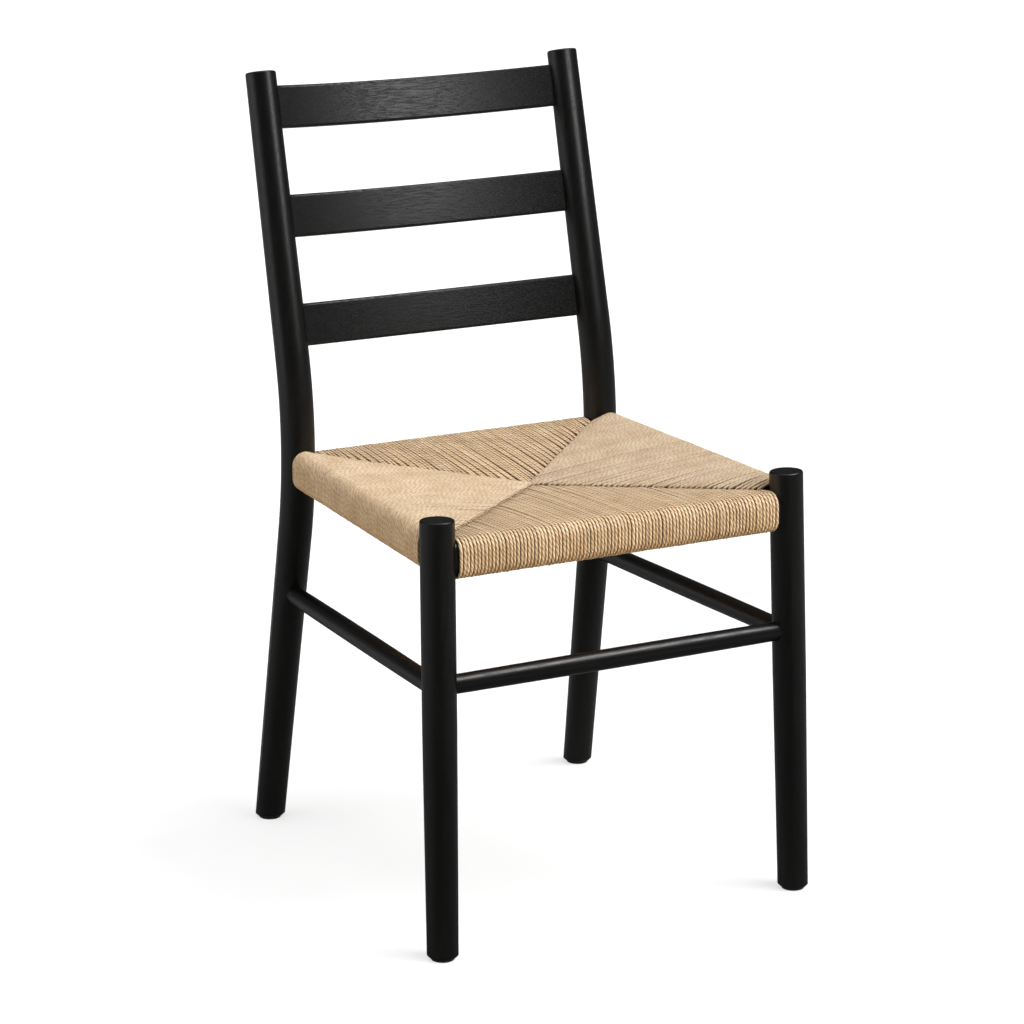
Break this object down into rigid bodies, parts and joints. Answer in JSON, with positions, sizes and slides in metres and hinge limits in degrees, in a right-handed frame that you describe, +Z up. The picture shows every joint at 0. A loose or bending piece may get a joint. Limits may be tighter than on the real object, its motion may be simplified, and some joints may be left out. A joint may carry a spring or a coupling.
{
  "type": "dining chair",
  "caption": "Ladder-back dining chair with round black-stained wooden legs, bowed back slats and a seat of natural paper cord woven in four triangular fields",
  "frame": {"origin": "on the floor, in the middle of the chair's bounding box in plan", "axes": "+X to the right of a person facing the chair's front from -Y, +Y towards the back, +Z up"},
  "size_m": [0.471, 0.555, 0.8792],
  "materials": {
    "stained_wood": "black stain under a thin satin clear coat, faint open grain",
    "paper_cord": "twisted natural kraft paper cord, matt with a slight wax sheen",
    "stuffing_board": "plain grey-brown pulp board, matt, hidden inside the seat",
    "felt": "pressed wool felt, matt",
    "steel_tack": "blued steel upholstery tacks, satin"
  },
  "bodies": {
    "root": {"front_leg_left": "stained_wood", "front_leg_right": "stained_wood", "rear_leg_left": "stained_wood", "rear_leg_right": "stained_wood", "front_seat_rail": "stained_wood", "rear_seat_rail": "stained_wood", "left_seat_rail": "stained_wood", "right_seat_rail": "stained_wood", "front_stretcher": "stained_wood", "left_stretcher": "stained_wood", "right_stretcher": "stained_wood", "top_slat": "stained_wood", "middle_slat": "stained_wood", "bottom_slat": "stained_wood", "front_cord_field": "paper_cord", "rear_cord_field": "paper_cord", "left_cord_field": "paper_cord", "right_cord_field": "paper_cord", "front_stuffing_board": "stuffing_board", "rear_stuffing_board": "stuffing_board", "left_stuffing_board": "stuffing_board", "right_stuffing_board": "stuffing_board", "front_glide_left": "felt", "front_glide_right": "felt", "rear_glide_left": "felt", "rear_glide_right": "felt", "cord_tacks": "steel_tack"}
  },
  "joints": []
}
